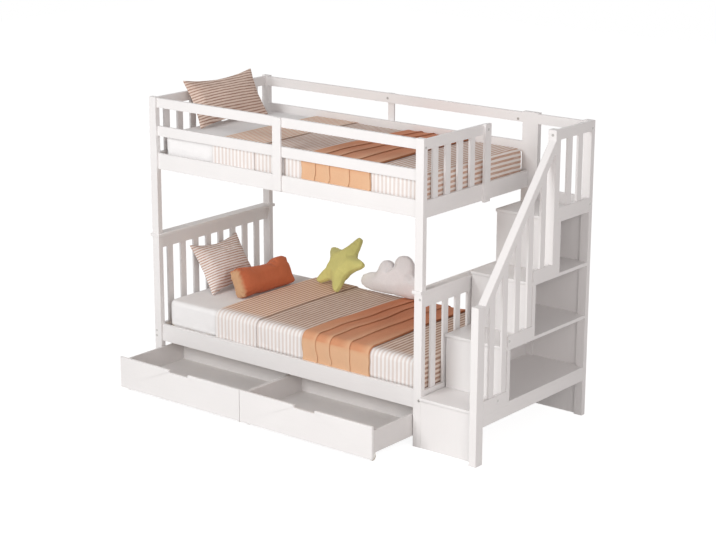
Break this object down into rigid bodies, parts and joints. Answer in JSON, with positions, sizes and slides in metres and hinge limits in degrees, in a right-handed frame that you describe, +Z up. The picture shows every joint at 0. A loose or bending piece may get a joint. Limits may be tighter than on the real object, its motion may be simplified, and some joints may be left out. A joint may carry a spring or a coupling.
{
  "type": "bunk bed with storage stairs",
  "caption": "White twin-over-twin wooden bunk bed with an open-shelved stair tower, capped spindle ends, rolling drawers pulled out below and made-up bedding.",
  "frame": {"origin": "centre of the overall outline's footprint, on the floor", "axes": "+X along the bed towards the stair tower, +Y towards the back, +Z up"},
  "size_m": [2.4244, 1.394, 1.786],
  "materials": {
    "white_paint": "satin white paint over solid wood",
    "slat_pine": "sanded bare pine",
    "drawer_board": "white melamine-faced board",
    "caster_fork": "moulded pale plastic",
    "caster_tread": "moulded beige plastic",
    "bolt_steel": "dull zinc",
    "sheet_cotton": "woven white cotton",
    "striped_cover": "woven cotton with fine beige and white stripes",
    "rust_throw": "soft brushed terracotta weave",
    "striped_pillow": "woven cotton with fine terracotta and cream stripes",
    "rust_lumbar": "brushed terracotta weave",
    "star_velvet": "short yellow-green pile",
    "cloud_plush": "short pale grey pile"
  },
  "bodies": {
    "bed": {"lower_posts_head": "white_paint", "lower_posts_foot": "white_paint", "upper_posts_head": "white_paint", "upper_posts_foot": "white_paint", "headboard_cap": "white_paint", "headboard_rails": "white_paint", "headboard_spindles": "white_paint", "footboard_cap": "white_paint", "footboard_rails": "white_paint", "footboard_spindles": "white_paint", "upper_head_rails": "white_paint", "upper_head_spindles": "white_paint", "foot_guard_rails": "white_paint", "foot_guard_spindles": "white_paint", "foot_guard_post": "white_paint", "lower_side_rails": "white_paint", "upper_side_rails": "white_paint", "front_guard_rails": "white_paint", "back_guard_rails": "white_paint", "guard_stiles": "white_paint", "stair_newel_lower": "white_paint", "stair_newel_upper": "white_paint", "stair_posts_rear": "white_paint", "stair_treads": "white_paint", "stair_risers": "white_paint", "stair_side_panel": "white_paint", "stair_rear_panel": "white_paint", "stair_base_fascia": "white_paint", "stair_handrail": "white_paint", "stair_base_rails": "white_paint", "stair_balusters": "white_paint", "landing_guard_rails": "white_paint", "landing_guard_spindles": "white_paint", "slat_cleats": "slat_pine", "lower_slats": "slat_pine", "upper_slats": "slat_pine", "lower_mattress": "sheet_cotton", "upper_mattress": "sheet_cotton", "lower_cover": "striped_cover", "upper_cover": "striped_cover", "lower_throw": "rust_throw", "upper_throw": "rust_throw", "upper_pillow": "striped_pillow", "lower_pillow": "striped_pillow", "lumbar_pillow": "rust_lumbar", "star_cushion": "star_velvet", "cloud_cushion": "cloud_plush", "bolt_caps": "bolt_steel"},
    "drawer_left": {"drawer_left_front": "white_paint", "drawer_left_box": "drawer_board", "drawer_left_bottom": "drawer_board", "drawer_left_casters": "caster_fork"},
    "drawer_left_wheels_front": {"drawer_left_wheels_front": "caster_tread"},
    "drawer_left_wheels_rear": {"drawer_left_wheels_rear": "caster_tread"},
    "drawer_right": {"drawer_right_front": "white_paint", "drawer_right_box": "drawer_board", "drawer_right_bottom": "drawer_board", "drawer_right_casters": "caster_fork"},
    "drawer_right_wheels_front": {"drawer_right_wheels_front": "caster_tread"},
    "drawer_right_wheels_rear": {"drawer_right_wheels_rear": "caster_tread"}
  },
  "joints": [
    {"name": "drawer_left_slide", "type": "slide", "parent": "bed", "child": "drawer_left", "axis": [0, -1, 0], "range_m": [-0.367, 0.14]},
    {"name": "drawer_left_wheels_front_spin", "type": "hinge", "parent": "drawer_left", "child": "drawer_left_wheels_front", "pos_m": [-0.672, -0.65, 0.022], "axis": [1, 0, 0], "continuous": true},
    {"name": "drawer_left_wheels_rear_spin", "type": "hinge", "parent": "drawer_left", "child": "drawer_left_wheels_rear", "pos_m": [-0.672, -0.201, 0.022], "axis": [1, 0, 0], "continuous": true},
    {"name": "drawer_right_slide", "type": "slide", "parent": "bed", "child": "drawer_right", "axis": [0, -1, 0], "range_m": [-0.367, 0.14]},
    {"name": "drawer_right_wheels_front_spin", "type": "hinge", "parent": "drawer_right", "child": "drawer_right_wheels_front", "pos_m": [0.2775, -0.65, 0.022], "axis": [1, 0, 0], "continuous": true},
    {"name": "drawer_right_wheels_rear_spin", "type": "hinge", "parent": "drawer_right", "child": "drawer_right_wheels_rear", "pos_m": [0.2775, -0.201, 0.022], "axis": [1, 0, 0], "continuous": true}
  ],
  "couplings": [
    {"joint": "drawer_left_wheels_front_spin", "follows": "drawer_left_slide", "rad_per_m": 45.455},
    {"joint": "drawer_left_wheels_rear_spin", "follows": "drawer_left_slide", "rad_per_m": 45.455},
    {"joint": "drawer_right_wheels_front_spin", "follows": "drawer_right_slide", "rad_per_m": 45.455},
    {"joint": "drawer_right_wheels_rear_spin", "follows": "drawer_right_slide", "rad_per_m": 45.455}
  ]
}
